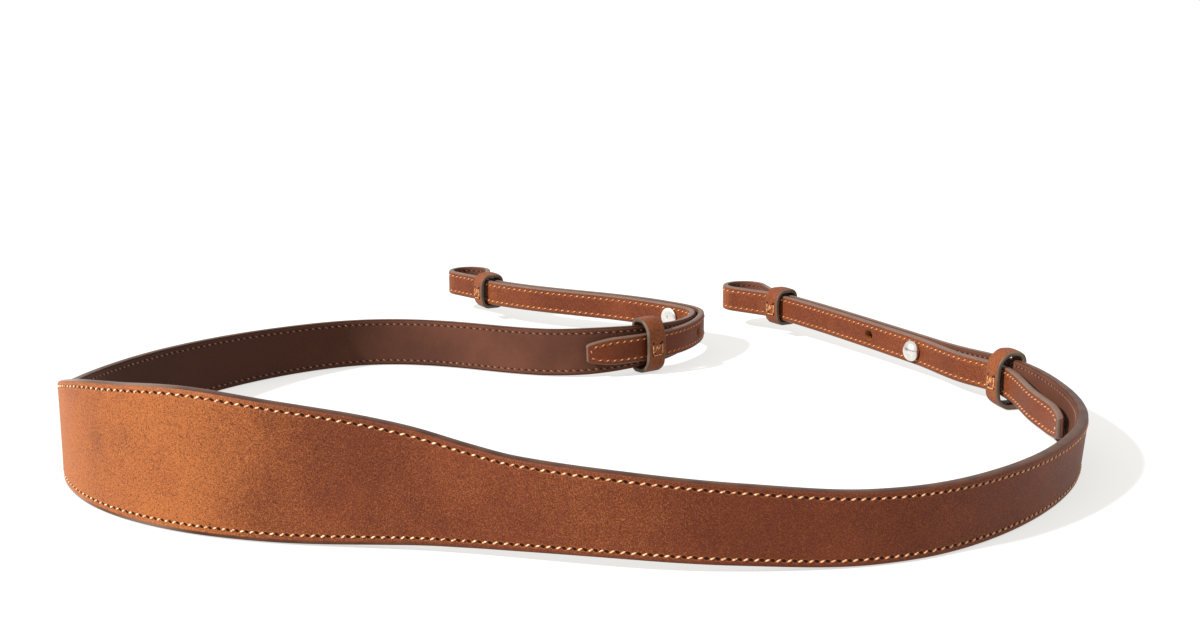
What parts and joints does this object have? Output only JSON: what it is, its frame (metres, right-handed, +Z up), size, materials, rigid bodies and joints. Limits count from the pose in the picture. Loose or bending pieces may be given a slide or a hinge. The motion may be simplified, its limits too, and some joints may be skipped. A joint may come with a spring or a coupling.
{
  "type": "camera neck strap",
  "caption": "Long leather neck strap with a wide shoulder pad and narrow doubled ends, held back on themselves by keepers and round studs to form a loop for each camera lug.",
  "frame": {"origin": "on the table, under the middle of the strap's outline from above", "axes": "+Z up from the table, +Y from the wide pad in front to the lug loops behind, +X to the right as seen from the pad's side"},
  "size_m": [0.3316, 0.365, 0.0419],
  "materials": {
    "grain_leather": "oiled grain leather, satin",
    "lining_leather": "matt brown lining leather",
    "keeper_leather": "oiled grain leather, satin",
    "polished_nickel": "polished",
    "screw_nickel": "polished"
  },
  "bodies": {
    "root": {"strap_leather": "grain_leather", "strap_lining": "lining_leather", "keeper_pad_side_left": "keeper_leather", "keeper_pad_side_right": "keeper_leather", "keeper_lug_side_left": "keeper_leather", "keeper_lug_side_right": "keeper_leather", "stud_button_left": "polished_nickel", "stud_button_right": "polished_nickel", "stud_screw_left": "screw_nickel", "stud_screw_right": "screw_nickel"}
  },
  "joints": []
}
